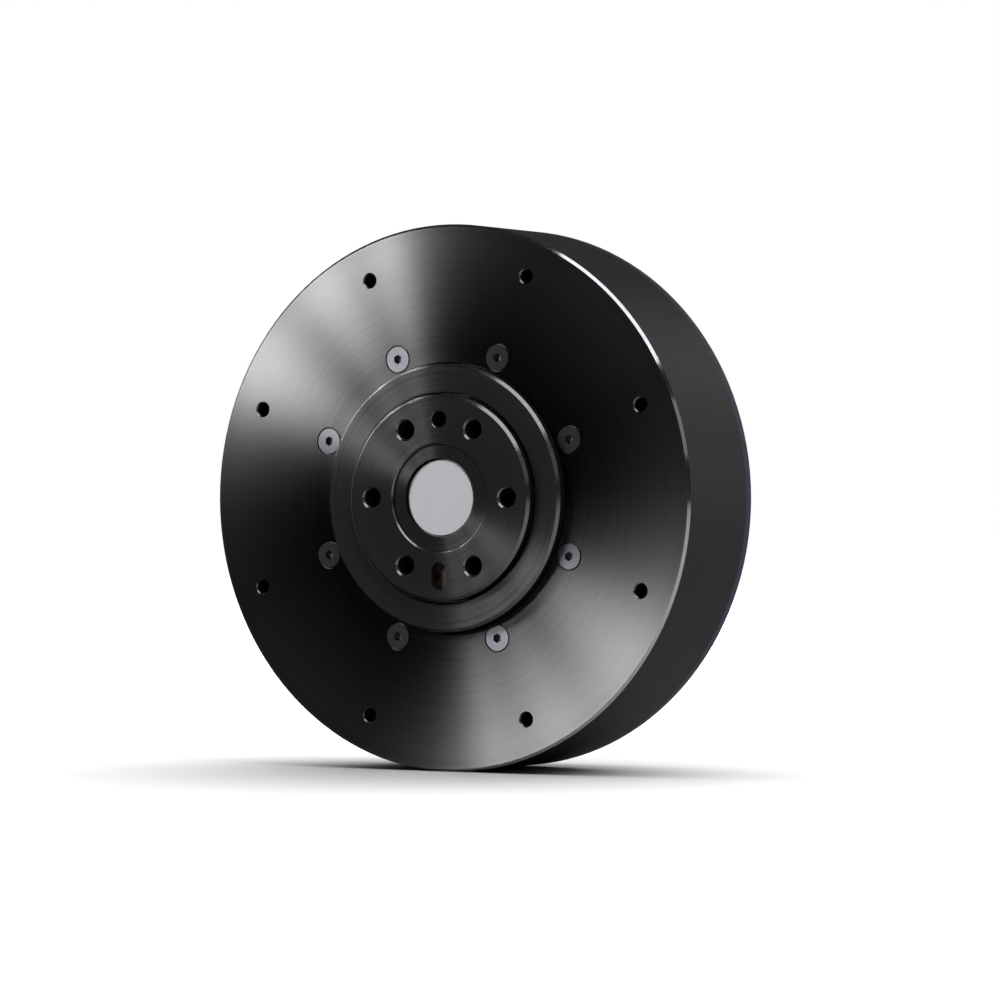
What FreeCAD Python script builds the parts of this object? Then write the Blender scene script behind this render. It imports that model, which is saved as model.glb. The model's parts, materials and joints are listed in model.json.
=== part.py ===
import FreeCAD, Part
import os
from math import acos, cos, degrees, pi, radians, sin, sqrt, tan

# Robot joint actuator: an outer-rotor motor around a single-stage planetary gear,
# with its driver electronics behind. Millimetres, +Z up. The shaft axis is Y: the
# output hub's face lies in the plane y = 0 and looks along -Y, and y grows to the rear.

# ---- Main casing ----
case_wall = 3.4
case_chamfer = 0.45
front_plate_t = 4.0
mounting_rim_t = 7.0
mounting_rim_inset = 3.5
rear_rim_t = 1.6
rear_plate_t = 2.9
mount_screw_edge = 6.5
mount_screw_count = 8
mount_screw_bore_r = 1.25
mount_screw_depth = 6.0
mount_screw_chamfer = 0.2

# ---- Output face ----
hub_proud = 3.0
boss_proud = 1.8
hub_shoulder = 1.0
hub_flange_t = 3.4
hub_chamfer = 0.5
hub_recess_r = 9.65
hub_recess_depth = 1.8
cap_r = 7.0
cap_below_face = 0.8
cap_spigot_r = 4.8
cap_spigot_t = 1.8
cap_chamfer = 0.35
output_screw_edge = 3.5
output_screw_count = 6
output_screw_bore_r = 1.7
output_screw_depth = 7.0
output_screw_chamfer = 0.3
dowel_r = 1.5
dowel_angle = 90.0
slot_half_width = 1.5
slot_length = 5.0
slot_angle = 270.0
key_hole_chamfer = 0.1

# ---- Bearing housing between casing and hub ----
boss_wall = 2.0
boss_gap = 0.35
boss_chamfer = 0.5
boss_spigot_t = 2.5
hub_gap = 0.4
gear_screw_inset = 2.375
gear_screw_land = 0.1
gear_case_edge = 3.0
gear_screw_count = 8
gear_screw_r = 1.25
gear_screw_head_r = 2.28
gear_screw_length = 13.0
gear_screw_socket_af = 1.5
head_land_share = 0.12
countersink_margin = 0.27
circlip_t = 0.8
circlip_groove_depth = 0.6
circlip_land = 0.7
circlip_gap_deg = 34.0
circlip_eye_r = 1.1
circlip_eye_hole_r = 0.5
circlip_eye_inset = 0.1
circlip_eye_deg = 3.0

# ---- Ball bearings ----
output_bearing_bore_r = 17.5
output_bearing_section = 4.5
output_bearing_width = 5.0
output_bearing_balls = 18
sun_bearing_bore_r = 2.5
sun_bearing_section = 2.5
sun_bearing_width = 3.0
sun_bearing_balls = 7
rear_bearing_bore_r = 3.0
rear_bearing_section = 3.0
rear_bearing_width = 4.0
rear_bearing_balls = 7
race_share = 0.28
ball_share = 0.31
ball_play = 0.04
cage_width_share = 0.62
cage_depth_share = 0.35
seal_t = 0.25
seal_inset = 0.1

# ---- Planetary gears ----
sun_teeth = 12
planet_teeth = 42
gear_module = 0.5
pressure_angle = radians(25.0)
addendum_share = 1.0
dedendum_share = 1.25
gear_backlash = 0.06
planet_count = 3
first_planet_angle = 90.0
planet_width = 7.0
planet_bush_r = 3.4
planet_bush_bore_gap = 0.03
planet_pin_r = 2.0
washer_r = 5.0
washer_t = 0.45
washer_play = 0.05
ring_gear_overhang = 0.6
ring_relief = 0.2

# ---- Planet carrier ----
carrier_gap = 1.5
carrier_pad_t = 1.3
carrier_pad_lip = 0.7
carrier_plate_t = 1.8
carrier_rear_t = 1.5
carrier_bore_r = 4.0
carrier_post_r = 2.6
carrier_post_edge = 0.4
carrier_screw_circle_r = 8.0
carrier_screw_count = 6
carrier_screw_r = 1.0
carrier_screw_head_r = 1.9
carrier_screw_length = 5.5
post_screw_length = 5.0
small_socket_af = 1.3
sight_hole_r = 1.35
sight_hole_offset = 1.75

# ---- Rotor ----
rotor_gap = 1.0
rotor_front_gap = 0.6
flux_ring_t = 1.9
flux_ring_overhang = 0.8
magnet_count = 42
magnet_t = 2.0
magnet_glue_t = 0.1
magnet_width = 5.2
magnet_overhang = 0.4
bell_t = 1.2
bell_bore_gap = 0.6
bell_disc_t = 1.5
bell_disc_gap = 0.7
bell_collar_t = 0.5
bell_hole_r = 4.5
bell_hole_circle_r = 18.0
bell_hole_count = 8

# ---- Stator ----
slot_depth = 3.8
air_gap = 0.6
sleeve_t = 1.0
sleeve_gap = 0.6
slot_count = 36
yoke_t = 1.8
tooth_half_width = 1.3
tooth_shoe_t = 1.0
slot_mouth_half = 0.7
core_length = 7.0
coil_overhang = 1.7
coil_side_t = 1.2
coil_gap = 0.15
lead_r = 0.8
lead_hole_gap = 0.4
lead_gap = 0.3
lead_count = 3

# ---- Rear electronics ----
cover_inset = 9.0
cover_wall = 1.5
cover_end_t = 1.5
cover_chamfer = 1.0
rear_gap = 0.9
encoder_magnet_r = 3.0
encoder_magnet_t = 2.5
encoder_gap = 1.0
chip_t = 1.0
board_t = 1.6
board_edge_gap = 0.7
component_room = 2.9
standoff_r = 2.6
standoff_inset = 3.4
standoff_count = 4
standoff_angle = 45.0
cover_screw_r = 1.25
cover_screw_head_r = 2.28
cover_screw_length = 9.0
case_screw_edge = 1.8
case_screw_count = 8
case_screw_r = 0.8
case_screw_head_r = 1.45
case_screw_length = 5.0
case_socket_af = 0.9
power_size = (11.0, 5.2, 10.0)
signal_size = (7.6, 4.4, 8.0)
service_size = (5.6, 4.4, 8.0)
connector_wall = 0.8
connector_gap = 1.0
connector_setback = 1.4
connector_floor = 2.5
power_pin_r = 1.0
signal_pin_half = 0.25
heat_land_width = 30.0
heat_land_height = 11.0
heat_land_z = 20.0
thermal_pad_t = 0.5
rear_hub_wall = 2.5
sensor_size = 5.0
switch_count = 6
switch_width_share = 0.8
switch_height_share = 0.6
processor_size = 7.0
capacitor_r = 3.0
capacitor_height_share = 0.8
capacitor_circle_r = 22.0
capacitor_count = 6

# ---- Fits ----
seat_gap = 0.02
thread_gap = 0.05
clearance_gap = 0.15
socket_depth_share = 0.55

# ---- Stations along the shaft, from the hub's face to the rear ----
y_case = hub_proud
y_boss = hub_proud - boss_proud
y_plate_back = y_case + front_plate_t
y_rim_back = y_case + mounting_rim_t
y_bearing = hub_flange_t
y_bearing_back = y_bearing + output_bearing_width
y_circlip_back = y_bearing_back + circlip_t
y_gear_front = y_circlip_back + circlip_land
y_carrier = y_bearing_back + carrier_pad_t
y_carrier_back = y_carrier + carrier_plate_t
y_planet = y_carrier_back + washer_t + washer_play
y_planet_back = y_planet + planet_width
y_carrier_rear = y_planet_back + washer_t + washer_play
y_carrier_end = y_carrier_rear + carrier_rear_t
y_ring_gear_back = y_planet_back + ring_gear_overhang
y_bell = y_rim_back + rotor_front_gap
y_bell_back = y_bell + bell_t
y_coil = y_bell_back + clearance_gap + rotor_front_gap
y_core = y_coil + coil_overhang
y_core_back = y_core + core_length
y_coil_back = y_core_back + coil_overhang
y_bell_disc = y_carrier_end + bell_disc_gap
y_bell_disc_back = y_bell_disc + bell_disc_t
y_rear_bearing = y_bell_disc_back + bell_collar_t
y_rear_inner = max(y_bell_disc_back, y_coil_back) + rear_gap
y_body_back = y_rear_inner + rear_plate_t
y_wall_back = y_body_back - rear_rim_t
y_rear_bearing_back = y_rear_bearing + rear_bearing_width
y_shaft_end = y_rear_bearing_back + seal_t
y_encoder_magnet_back = y_shaft_end + encoder_magnet_t
y_chip = y_encoder_magnet_back + encoder_gap
y_board = y_chip + chip_t
y_board_back = y_board + board_t
y_cover_inner = y_board_back + component_room
y_cover_end = y_cover_inner + cover_end_t

# ---- Radii that follow from the driving sizes ----
output_bearing_outer_r = output_bearing_bore_r + output_bearing_section
sun_bearing_outer_r = sun_bearing_bore_r + sun_bearing_section
rear_bearing_outer_r = rear_bearing_bore_r + rear_bearing_section
output_screw_circle_r = output_bearing_bore_r - output_screw_edge
carrier_pad_r = output_bearing_bore_r + carrier_pad_lip
hub_r = output_bearing_bore_r + hub_shoulder
boss_bore_r = hub_r + hub_gap
boss_r = output_bearing_outer_r + boss_wall
sun_pitch_r = gear_module * sun_teeth / 2
planet_pitch_r = gear_module * planet_teeth / 2
ring_teeth = sun_teeth + 2 * planet_teeth
ring_pitch_r = gear_module * ring_teeth / 2
planet_circle_r = sun_pitch_r + planet_pitch_r
addendum = addendum_share * gear_module
dedendum = dedendum_share * gear_module
sun_tip_r = sun_pitch_r + addendum
ring_root_r = ring_pitch_r + dedendum
carrier_r = ring_pitch_r - addendum - carrier_gap
carrier_post_circle_r = carrier_r - carrier_post_r - carrier_post_edge
boss_screw_circle_r = boss_r + boss_gap + countersink_margin + gear_screw_head_r + gear_screw_land
gear_screw_circle_r = max(ring_root_r + gear_screw_inset, boss_screw_circle_r)
gear_case_r = gear_screw_circle_r + gear_case_edge
bell_tube_r = gear_case_r + bell_bore_gap
bell_tube_outer_r = bell_tube_r + bell_t
sleeve_bore_r = bell_tube_outer_r + sleeve_gap
stator_bore_r = sleeve_bore_r + sleeve_t
slot_bottom_r = stator_bore_r + yoke_t
slot_top_r = slot_bottom_r + slot_depth
stator_r = slot_top_r + tooth_shoe_t
magnet_inner_r = stator_r + air_gap
flux_bore_r = magnet_inner_r + magnet_t + magnet_glue_t
rotor_r = flux_bore_r + flux_ring_t
case_bore_r = rotor_r + rotor_gap
body_r = case_bore_r + case_wall
mount_screw_circle_r = body_r - mount_screw_edge
mounting_rim_r = mount_screw_circle_r - mounting_rim_inset
case_screw_circle_r = body_r - case_screw_edge
cover_r = body_r - cover_inset
board_r = cover_r - cover_wall - board_edge_gap
standoff_circle_r = cover_r - cover_wall - standoff_r - standoff_inset
connector_reach = cover_r - connector_setback
shaft_r = rear_bearing_bore_r
rear_hub_r = rear_bearing_outer_r + rear_hub_wall
bell_collar_r = rear_bearing_bore_r + race_share * (rear_bearing_outer_r - rear_bearing_bore_r)
lead_circle_r = slot_bottom_r + lead_gap + lead_r
lead_angles = [90.0 + 360.0 * (n - (lead_count - 1) / 2) / slot_count for n in range(lead_count)]
connectors_width = power_size[0] + signal_size[0] + service_size[0] + 2 * connector_gap
connectors_x = -connectors_width / 2
signal_x = connectors_x + power_size[0] + connector_gap
service_x = signal_x + signal_size[0] + connector_gap
planet_angles = [first_planet_angle + 360.0 * n / planet_count for n in range(planet_count)]
post_angles = [angle + 180.0 / planet_count for angle in planet_angles]
standoff_angles = [standoff_angle + 360.0 * n / standoff_count for n in range(standoff_count)]

SHAFT = FreeCAD.Vector(0, 1, 0)
ORIGIN = FreeCAD.Vector(0, 0, 0)


# ---- Shapes that repeat ----
def at(radius, angle, y=0.0):
    """The point at this radius from the shaft axis, at this angle from +X towards +Z."""
    turn = radians(angle)
    return FreeCAD.Vector(radius * cos(turn), y, radius * sin(turn))


def evenly(count, first=0.0):
    return [first + 360.0 * n / count for n in range(count)]


def rod(radius, y0, y1, centre=ORIGIN):
    base = FreeCAD.Vector(centre.x, y0, centre.z)
    return Part.makeCylinder(radius, y1 - y0, base, SHAFT)


def cone(radius0, radius1, y0, y1, centre=ORIGIN):
    base = FreeCAD.Vector(centre.x, y0, centre.z)
    return Part.makeCone(radius0, radius1, y1 - y0, base, SHAFT)


def turned(profile):
    """A closed outline of (radius, y) points turned about the shaft axis."""
    points = [FreeCAD.Vector(radius, y, 0) for radius, y in profile]
    outline = Part.makePolygon(points + points[:1])
    return Part.Face(outline).revolve(ORIGIN, SHAFT, 360)


def ring(outer, inner, y0, y1):
    return turned([(inner, y0), (outer, y0), (outer, y1), (inner, y1)])


def block(width, depth, height, centre_x, y0, centre_z):
    corner = FreeCAD.Vector(centre_x - width / 2, y0, centre_z - height / 2)
    return Part.makeBox(width, depth, height, corner)


def turned_to(shape, angle):
    """A copy of a shape made on the +X side, carried round the shaft to this angle."""
    copy = shape.copy()
    copy.rotate(ORIGIN, SHAFT, -angle)
    return copy


def hexagon(across_flats, y0, y1):
    corner_r = across_flats / sqrt(3)
    corners = [at(corner_r, 90 + 60 * n, y0) for n in range(7)]
    return Part.Face(Part.makePolygon(corners)).extrude(SHAFT * (y1 - y0))


def flat_head_screw(shank_r, head_r, length, socket_af):
    """A countersunk screw on the shaft axis: head face at y = 0, shank towards +Y."""
    land = head_land_share * head_r
    head_t = land + head_r - shank_r
    outline = [(0, 0), (head_r, 0), (head_r, land), (shank_r, head_t), (shank_r, length), (0, length)]
    return turned(outline).cut(hexagon(socket_af, -head_t, socket_depth_share * head_t))


def countersink(shank_r, head_r, y, centre, sense=1):
    """The cone and land that hold a flat head whose face is flush with the plane y."""
    mouth_r = head_r + countersink_margin
    land = head_land_share * head_r
    tip = y + sense * (land + head_r - shank_r)
    seat = cone(head_r, shank_r, y + sense * land, tip, centre) if sense > 0 else cone(
        shank_r, head_r, tip, y + sense * land, centre)
    low, high = sorted((y - sense * land, y + sense * land))
    return rod(mouth_r, low, high, centre).fuse(seat)


def fasteners(screw, circle_r, angles, y, sense=1):
    """Copies of a screw on a circle, with heads at y and shanks along +Y, or -Y."""
    made = []
    for angle in angles:
        copy = screw.copy()
        if sense < 0:
            copy.rotate(ORIGIN, FreeCAD.Vector(0, 0, 1), 180)
        copy.translate(at(circle_r, angle, y))
        made.append(copy)
    return Part.makeCompound(made)


def holes(radius, circle_r, angles, y0, y1):
    return [rod(radius, y0, y1, at(circle_r, angle)) for angle in angles]


def mouths(radius, chamfer, circle_r, angles, y):
    """Chamfers at the mouths, in the plane y, of holes that run towards +Y."""
    return [cone(radius + 2 * chamfer, radius, y - chamfer, y + chamfer, at(circle_r, angle))
            for angle in angles]


# ---- Involute gears ----
def involute(angle):
    return tan(angle) - angle


def gear_outline(teeth, tip_r, root_r, play, centre, first_tooth, y):
    """The closed outline of an involute gear, one arc to a flank, tip or root.

    play is taken off each tooth's width at the pitch circle. A ring gear's teeth are
    what is left between the teeth of a larger outline with a negative play.
    """
    pitch_r = gear_module * teeth / 2
    base_r = pitch_r * cos(pressure_angle)
    foot_r = max(base_r, root_r)
    pitch_half = pi / (2 * teeth) - play / (2 * pitch_r)

    def half_angle(radius):
        return pitch_half + involute(pressure_angle) - involute(acos(min(1.0, base_r / radius)))

    def point(radius, turn):
        return FreeCAD.Vector(centre.x + radius * cos(turn), y, centre.z + radius * sin(turn))

    def arc(first, middle, last):
        return Part.Arc(first, middle, last).toShape()

    middle_r = (foot_r + tip_r) / 2
    step = 2 * pi / teeth
    edges = []
    for n in range(teeth):
        axis = radians(first_tooth) + n * step
        rise = [point(radius, axis - half_angle(radius)) for radius in (foot_r, middle_r, tip_r)]
        fall = [point(radius, axis + half_angle(radius)) for radius in (tip_r, middle_r, foot_r)]
        foot = half_angle(foot_r)
        root = [point(root_r, axis + turn) for turn in (-foot, foot, step / 2, step - foot)]
        if root_r < foot_r:
            edges.append(Part.makeLine(root[0], rise[0]))
        edges.append(arc(*rise))
        edges.append(arc(rise[2], point(tip_r, axis), fall[0]))
        edges.append(arc(*fall))
        if root_r < foot_r:
            edges.append(Part.makeLine(fall[2], root[1]))
        edges.append(arc(root[1], root[2], root[3]))
    return Part.Face(Part.Wire(edges))


def spur_gear(teeth, centre, first_tooth, y0, y1):
    pitch_r = gear_module * teeth / 2
    outline = gear_outline(teeth, pitch_r + addendum, pitch_r - dedendum, gear_backlash / 2,
                           centre, first_tooth, y0)
    return outline.extrude(SHAFT * (y1 - y0))


# ---- Ball bearings ----
def ball_bearing(bore_r, outer_r, width, count, y0):
    """Inner race, outer race, balls, cage and two seals of a deep-groove bearing."""
    section = outer_r - bore_r
    pitch_r = (bore_r + outer_r) / 2
    ball_r = ball_share * section
    race_t = race_share * section
    middle = y0 + width / 2
    groove = Part.makeTorus(pitch_r, ball_r + ball_play, FreeCAD.Vector(0, middle, 0), SHAFT)
    inner = ring(bore_r + race_t, bore_r + seat_gap, y0, y0 + width).cut(groove)
    outer = ring(outer_r - seat_gap, outer_r - race_t, y0, y0 + width).cut(groove)
    centres = [at(pitch_r, angle, middle) for angle in evenly(count)]
    balls = [Part.makeSphere(ball_r, centre) for centre in centres]
    half = cage_width_share * width / 2
    cage_t = cage_depth_share * ball_r
    cage = ring(pitch_r + cage_t, pitch_r - cage_t, middle - half, middle + half)
    pocket = Part.makeCylinder(ball_r + ball_play, outer_r, FreeCAD.Vector(0, middle, 0),
                               FreeCAD.Vector(1, 0, 0))
    cage = cage.cut([turned_to(pocket, angle) for angle in evenly(count)])
    seal_outer = outer_r - race_t - seat_gap
    seal_inner = bore_r + race_t + clearance_gap
    seals = [ring(seal_outer, seal_inner, y, y + seal_t)
             for y in (y0 + seal_inset, y0 + width - seal_inset - seal_t)]
    return {"inner": inner, "outer": outer, "balls": Part.makeCompound(balls), "cage": cage,
            "seals": Part.makeCompound(seals)}


# ---- Casing ----
def make_front_housing():
    """The cup: front plate with its thick mounting rim, and the side wall behind it."""
    bore_r = boss_r + boss_gap
    shell = turned([
        (bore_r, y_case), (body_r - case_chamfer, y_case), (body_r, y_case + case_chamfer),
        (body_r, y_wall_back), (case_bore_r, y_wall_back), (case_bore_r, y_rim_back),
        (mounting_rim_r, y_rim_back), (mounting_rim_r, y_plate_back), (bore_r, y_plate_back)])
    mount_angles = evenly(mount_screw_count, 180.0 / mount_screw_count)
    screw_angles = evenly(gear_screw_count, 180.0 / gear_screw_count)
    tools = holes(mount_screw_bore_r, mount_screw_circle_r, mount_angles,
                  y_case, y_case + mount_screw_depth)
    tools += mouths(mount_screw_bore_r, mount_screw_chamfer, mount_screw_circle_r, mount_angles, y_case)
    tools += holes(gear_screw_r + clearance_gap, gear_screw_circle_r, screw_angles, y_case, y_plate_back)
    tools += [countersink(gear_screw_r, gear_screw_head_r, y_case, at(gear_screw_circle_r, angle))
              for angle in screw_angles]
    tools += holes(case_screw_r + thread_gap, case_screw_circle_r, evenly(case_screw_count),
                   y_body_back - case_screw_length - thread_gap, y_wall_back)
    return shell.cut(tools)


def make_rear_cover():
    """The rear plate with its rim, stator sleeve, rear bearing hub, heat land and standoffs."""
    bearing_r = rear_bearing_outer_r
    lip_r = bearing_r - race_share * (rear_bearing_outer_r - rear_bearing_bore_r)
    spigot_r = case_bore_r - clearance_gap
    hub_back = y_rear_bearing_back + seal_t
    plate = turned([
        (bearing_r, y_rear_bearing), (rear_hub_r, y_rear_bearing), (rear_hub_r, y_rear_inner),
        (sleeve_bore_r, y_rear_inner), (sleeve_bore_r, y_core), (stator_bore_r, y_core),
        (stator_bore_r, y_core_back), (slot_bottom_r, y_core_back), (slot_bottom_r, y_rear_inner),
        (spigot_r, y_rear_inner), (spigot_r, y_wall_back), (body_r, y_wall_back),
        (body_r, y_body_back - case_chamfer), (body_r - case_chamfer, y_body_back),
        (rear_hub_r, y_body_back), (rear_hub_r, hub_back), (lip_r, hub_back),
        (lip_r, y_rear_bearing_back), (bearing_r, y_rear_bearing_back)])
    land = block(heat_land_width, y_chip - thermal_pad_t - y_body_back, heat_land_height,
                 0, y_body_back, heat_land_z)
    standoffs = holes(standoff_r, standoff_circle_r, standoff_angles, y_body_back, y_board)
    tools = holes(cover_screw_r + thread_gap, standoff_circle_r, standoff_angles,
                  y_cover_end - cover_screw_length - thread_gap, y_board)
    tools += holes(lead_r + lead_hole_gap, lead_circle_r, lead_angles, y_rear_inner, y_body_back)
    tools += holes(case_screw_r + clearance_gap, case_screw_circle_r, evenly(case_screw_count),
                   y_wall_back, y_body_back)
    tools += [countersink(case_screw_r, case_screw_head_r, y_body_back, at(case_screw_circle_r, angle), -1)
              for angle in evenly(case_screw_count)]
    return plate.fuse([land] + standoffs).removeSplitter().cut(tools)


def make_bearing_housing():
    """The fixed ring around the hub: its boss shows in front, its flange is clamped behind."""
    seat_r = output_bearing_outer_r
    groove_r = seat_r + circlip_groove_depth
    spigot_r = boss_r + boss_gap - seat_gap
    body = turned([
        (boss_bore_r + boss_chamfer / 2, y_boss), (boss_r - boss_chamfer, y_boss),
        (boss_r, y_boss + boss_chamfer), (boss_r, y_plate_back - boss_spigot_t),
        (spigot_r, y_plate_back - boss_spigot_t), (spigot_r, y_plate_back),
        (gear_case_r, y_plate_back), (gear_case_r, y_gear_front), (seat_r, y_gear_front),
        (seat_r, y_circlip_back), (groove_r, y_circlip_back), (groove_r, y_bearing_back),
        (seat_r, y_bearing_back), (seat_r, y_bearing), (boss_bore_r, y_bearing),
        (boss_bore_r, y_boss + boss_chamfer / 2)])
    screw_angles = evenly(gear_screw_count, 180.0 / gear_screw_count)
    return body.cut(holes(gear_screw_r + clearance_gap, gear_screw_circle_r, screw_angles,
                          y_plate_back, y_gear_front))


def make_circlip():
    """The spring ring behind the output bearing, with an eye at each end of its gap."""
    outer_r = output_bearing_outer_r + circlip_groove_depth - seat_gap
    inner_r = output_bearing_outer_r - race_share * (output_bearing_outer_r - output_bearing_bore_r)
    back = y_circlip_back - seat_gap
    clip = ring(outer_r, inner_r, y_bearing_back + seat_gap, back)
    mouth = Part.makeBox(2 * outer_r, circlip_t, 2 * outer_r, FreeCAD.Vector(0, y_bearing_back, 0))
    other = mouth.copy()
    mouth.rotate(ORIGIN, SHAFT, -(270 - circlip_gap_deg / 2))
    other.rotate(ORIGIN, SHAFT, -(180 + circlip_gap_deg / 2))
    clip = clip.cut(mouth.common(other))
    reach = circlip_gap_deg / 2 + circlip_eye_deg
    eye_angles = (270 - reach, 270 + reach)
    eye_circle_r = inner_r + circlip_eye_inset
    eyes = holes(circlip_eye_r, eye_circle_r, eye_angles, y_bearing_back + seat_gap, back)
    return clip.fuse(eyes).cut(holes(circlip_eye_hole_r, eye_circle_r, eye_angles,
                                     y_bearing_back, y_circlip_back))


# ---- Gear train ----
def make_ring_gear():
    """The fixed internal gear, which also takes the eight clamping screws."""
    body = rod(gear_case_r, y_gear_front, y_ring_gear_back)
    relief = rod(ring_root_r + ring_relief, y_gear_front, y_planet - clearance_gap)
    space_at = first_planet_angle + 180.0 / ring_teeth
    spaces = gear_outline(ring_teeth, ring_root_r, ring_pitch_r - addendum, -gear_backlash / 2,
                          ORIGIN, space_at, y_gear_front)
    spaces = spaces.extrude(SHAFT * (y_ring_gear_back - y_gear_front))
    screw_angles = evenly(gear_screw_count, 180.0 / gear_screw_count)
    tapped = holes(gear_screw_r + thread_gap, gear_screw_circle_r, screw_angles,
                   y_gear_front, y_case + gear_screw_length + thread_gap)
    return body.cut([relief, spaces] + tapped)


def make_planet(angle):
    centre = at(planet_circle_r, angle)
    first_tooth = angle + 180.0 + 180.0 / planet_teeth
    gear = spur_gear(planet_teeth, centre, first_tooth, y_planet, y_planet_back)
    return gear.cut(rod(planet_bush_r + seat_gap, y_planet, y_planet_back, centre))


def make_planet_bush(angle):
    centre = at(planet_circle_r, angle)
    sleeve = rod(planet_bush_r, y_planet, y_planet_back, centre)
    return sleeve.cut(rod(planet_pin_r + planet_bush_bore_gap, y_planet, y_planet_back, centre))


def make_sun_gear():
    """The sun gear cut on the motor shaft, with a journal in front and the shaft behind."""
    journal_r = sun_bearing_bore_r
    y_journal = y_bearing_back - sun_bearing_width - clearance_gap
    teeth = spur_gear(sun_teeth, ORIGIN, first_planet_angle, y_planet - clearance_gap,
                      y_planet_back + clearance_gap)
    journal = rod(journal_r, y_journal, y_planet)
    shaft = rod(shaft_r, y_planet_back + clearance_gap, y_shaft_end)
    return teeth.fuse([journal, shaft])


def make_output_hub():
    """The output flange, with the journal for its bearing behind."""
    journal_r = output_bearing_bore_r
    pocket_r = sun_bearing_outer_r
    pocket_y = y_bearing_back - sun_bearing_width
    neck_r = sun_tip_r + clearance_gap
    spigot_back = hub_recess_depth + cap_spigot_t + clearance_gap
    recess_chamfer = hub_chamfer / 2
    hub = turned([
        (hub_recess_r + recess_chamfer, 0), (hub_r - hub_chamfer, 0), (hub_r, hub_chamfer),
        (hub_r, y_bearing), (journal_r, y_bearing), (journal_r, y_bearing_back),
        (pocket_r, y_bearing_back), (pocket_r, pocket_y), (neck_r, pocket_y),
        (neck_r, spigot_back), (cap_spigot_r + seat_gap, spigot_back),
        (cap_spigot_r + seat_gap, hub_recess_depth), (hub_recess_r, hub_recess_depth),
        (hub_recess_r, recess_chamfer)])
    screw_angles = evenly(output_screw_count)
    tools = holes(output_screw_bore_r, output_screw_circle_r, screw_angles, 0, output_screw_depth)
    tools += mouths(output_screw_bore_r, output_screw_chamfer, output_screw_circle_r, screw_angles, 0)
    tools += holes(dowel_r, output_screw_circle_r, (dowel_angle,), 0, y_bearing_back)
    tools += mouths(dowel_r, key_hole_chamfer, output_screw_circle_r, (dowel_angle,), 0)
    tools.append(key_slot(slot_half_width, slot_length, 0, y_bearing_back))
    tools += holes(carrier_screw_r + thread_gap, carrier_screw_circle_r,
                   evenly(carrier_screw_count, 180.0 / carrier_screw_count),
                   y_carrier_back - carrier_screw_length - thread_gap, y_bearing_back)
    return hub.cut(tools)


def key_slot(half_width, length, y0, y1):
    """A round-ended slot that runs along the radius at slot_angle."""
    reach = length / 2 - half_width
    ends = [rod(half_width, y0, y1, at(output_screw_circle_r + side * reach, 0)) for side in (-1, 1)]
    middle = block(2 * reach, y1 - y0, 2 * half_width, output_screw_circle_r, y0, 0)
    return turned_to(middle.fuse(ends).removeSplitter(), slot_angle)


def make_centre_cap():
    face = cap_below_face
    return turned([(0, face), (cap_r - cap_chamfer, face), (cap_r, face + cap_chamfer),
                   (cap_r, hub_recess_depth), (cap_spigot_r, hub_recess_depth),
                   (cap_spigot_r, hub_recess_depth + cap_spigot_t), (0, hub_recess_depth + cap_spigot_t)])


def make_carrier():
    """The carrier's front plate, seated on the hub, with the posts that hold the rear plate."""
    plate = turned([
        (carrier_bore_r, y_bearing_back), (carrier_pad_r, y_bearing_back), (carrier_pad_r, y_carrier),
        (carrier_r, y_carrier), (carrier_r, y_carrier_back), (carrier_bore_r, y_carrier_back)])
    posts = holes(carrier_post_r, carrier_post_circle_r, post_angles, y_carrier_back, y_carrier_rear)
    screw_angles = evenly(carrier_screw_count, 180.0 / carrier_screw_count)
    tools = holes(planet_pin_r + seat_gap, planet_circle_r, planet_angles, y_bearing_back, y_carrier_back)
    tools += holes(carrier_screw_r + clearance_gap, carrier_screw_circle_r, screw_angles,
                   y_bearing_back, y_carrier_back)
    tools += [countersink(carrier_screw_r, carrier_screw_head_r, y_carrier_back,
                          at(carrier_screw_circle_r, angle), -1) for angle in screw_angles]
    tools += holes(carrier_screw_r + thread_gap, carrier_post_circle_r, post_angles,
                   y_carrier_end - post_screw_length - thread_gap, y_carrier_rear)
    for side in (-1, 1):
        spot = turned_to(rod(sight_hole_r, y_bearing_back, y_carrier, FreeCAD.Vector(
            output_screw_circle_r, 0, side * sight_hole_offset)), slot_angle)
        tools.append(spot)
    return plate.fuse(posts).removeSplitter().cut(tools)


def make_carrier_rear():
    """The carrier's rear plate, with a bore that clears the shaft."""
    plate = ring(carrier_r, carrier_bore_r, y_carrier_rear, y_carrier_end)
    tools = holes(planet_pin_r + seat_gap, planet_circle_r, planet_angles, y_carrier_rear, y_carrier_end)
    tools += holes(carrier_screw_r + clearance_gap, carrier_post_circle_r, post_angles,
                   y_carrier_rear, y_carrier_end)
    tools += [countersink(carrier_screw_r, carrier_screw_head_r, y_carrier_end,
                          at(carrier_post_circle_r, angle), -1) for angle in post_angles]
    return plate.cut(tools)


def make_washers():
    made = []
    for angle in planet_angles:
        centre = at(planet_circle_r, angle)
        for y in (y_carrier_back, y_planet_back + washer_play):
            disc = rod(washer_r, y, y + washer_t, centre)
            made.append(disc.cut(rod(planet_pin_r + seat_gap, y, y + washer_t, centre)))
    return Part.makeCompound(made)


# ---- Motor ----
def make_rotor_bell():
    """The dished bell: it runs outside the ring gear and joins the magnets to the shaft."""
    bell = turned([
        (shaft_r + seat_gap, y_bell_disc), (bell_tube_r, y_bell_disc), (bell_tube_r, y_bell),
        (rotor_r, y_bell), (rotor_r, y_bell_back), (bell_tube_outer_r, y_bell_back),
        (bell_tube_outer_r, y_bell_disc_back), (bell_collar_r, y_bell_disc_back),
        (bell_collar_r, y_rear_bearing), (shaft_r + seat_gap, y_rear_bearing)])
    return bell.cut(holes(bell_hole_r, bell_hole_circle_r, evenly(bell_hole_count),
                          y_bell_disc, y_bell_disc_back))


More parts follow.
